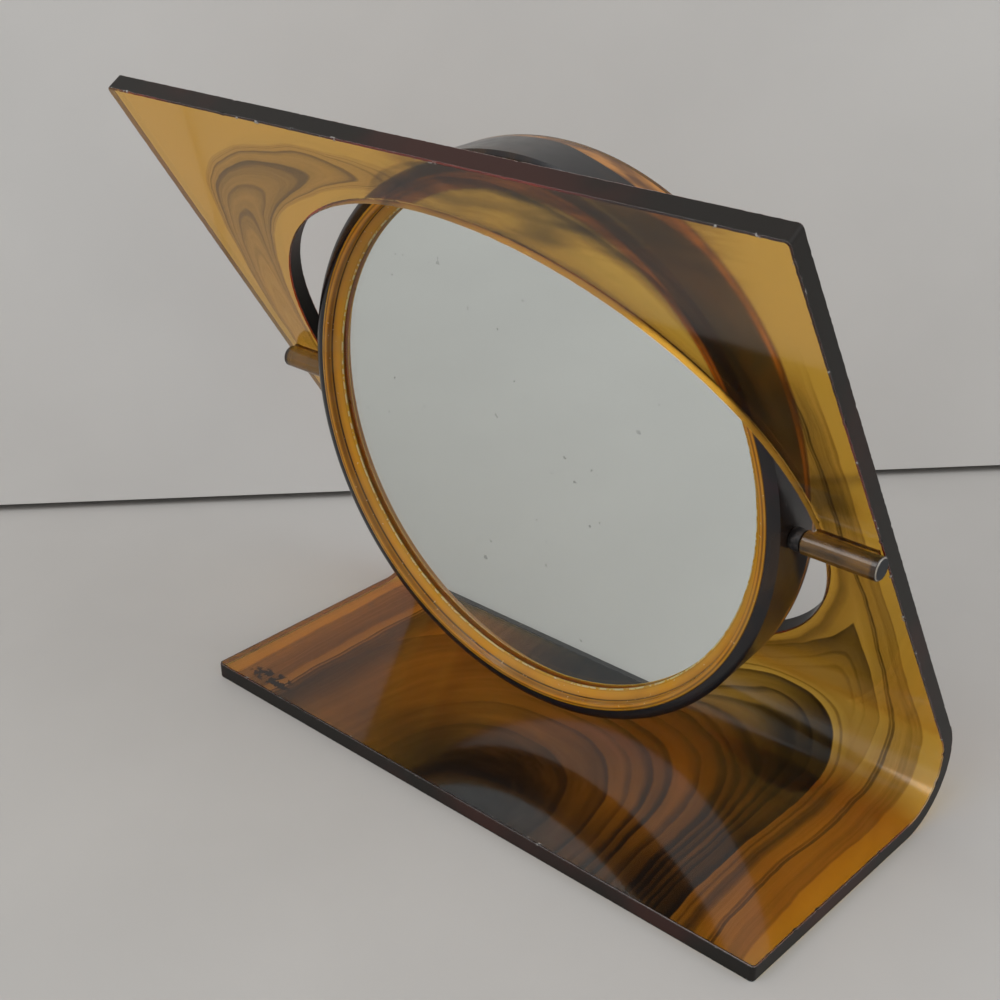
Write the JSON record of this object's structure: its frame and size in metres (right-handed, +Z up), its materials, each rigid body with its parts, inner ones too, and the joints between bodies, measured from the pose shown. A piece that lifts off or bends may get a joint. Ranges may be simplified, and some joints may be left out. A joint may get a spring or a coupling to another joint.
{
  "type": "table mirror",
  "caption": "Free-standing table mirror: a bent acrylic sheet is base and forward-leaning panel, and a round two-faced mirror drum tilts on rods across the panel's hole.",
  "frame": {"origin": "on the table, under the middle of the stand's width and of its overall depth", "axes": "+X to the viewer's right along the pivot axis, +Y to the back, +Z up from the underside of the base"},
  "size_m": [0.2009, 0.1082, 0.1861],
  "materials": {
    "tortoise_sheet": "polished transparent amber acrylic with smoky brown flow bands and near-black cut edges",
    "rod_acrylic": "polished amber-brown acrylic rod with dark sawn ends",
    "cement": "clear hardened solvent cement, slightly yellowed",
    "case_plastic": "glossy near-black brown translucent plastic",
    "bezel_plastic": "glossy translucent amber plastic with small nicks",
    "mirror_glass": "silvered glass with a few specks in the silvering",
    "card": "plain packing card",
    "pin_steel": "drawn steel wire",
    "spacer_plastic": "dark brown sleeve"
  },
  "bodies": {
    "stand": {"stand_sheet": "tortoise_sheet", "left_pivot_rod": "rod_acrylic", "right_pivot_rod": "rod_acrylic", "left_rod_cement": "cement", "right_rod_cement": "cement"},
    "mirror": {"mirror_case": "case_plastic", "front_bezel": "bezel_plastic", "front_mirror_glass": "mirror_glass", "backing_card": "card", "packing_ring": "card", "rear_mirror_glass": "mirror_glass", "rear_bezel": "bezel_plastic", "left_pivot_pin": "pin_steel", "right_pivot_pin": "pin_steel", "right_pin_spacer": "spacer_plastic"}
  },
  "joints": [
    {"name": "mirror_tilt", "type": "hinge", "parent": "stand", "child": "mirror", "pos_m": [0, -0.00346, 0.09883], "axis": [1, 0, 0], "continuous": true}
  ]
}
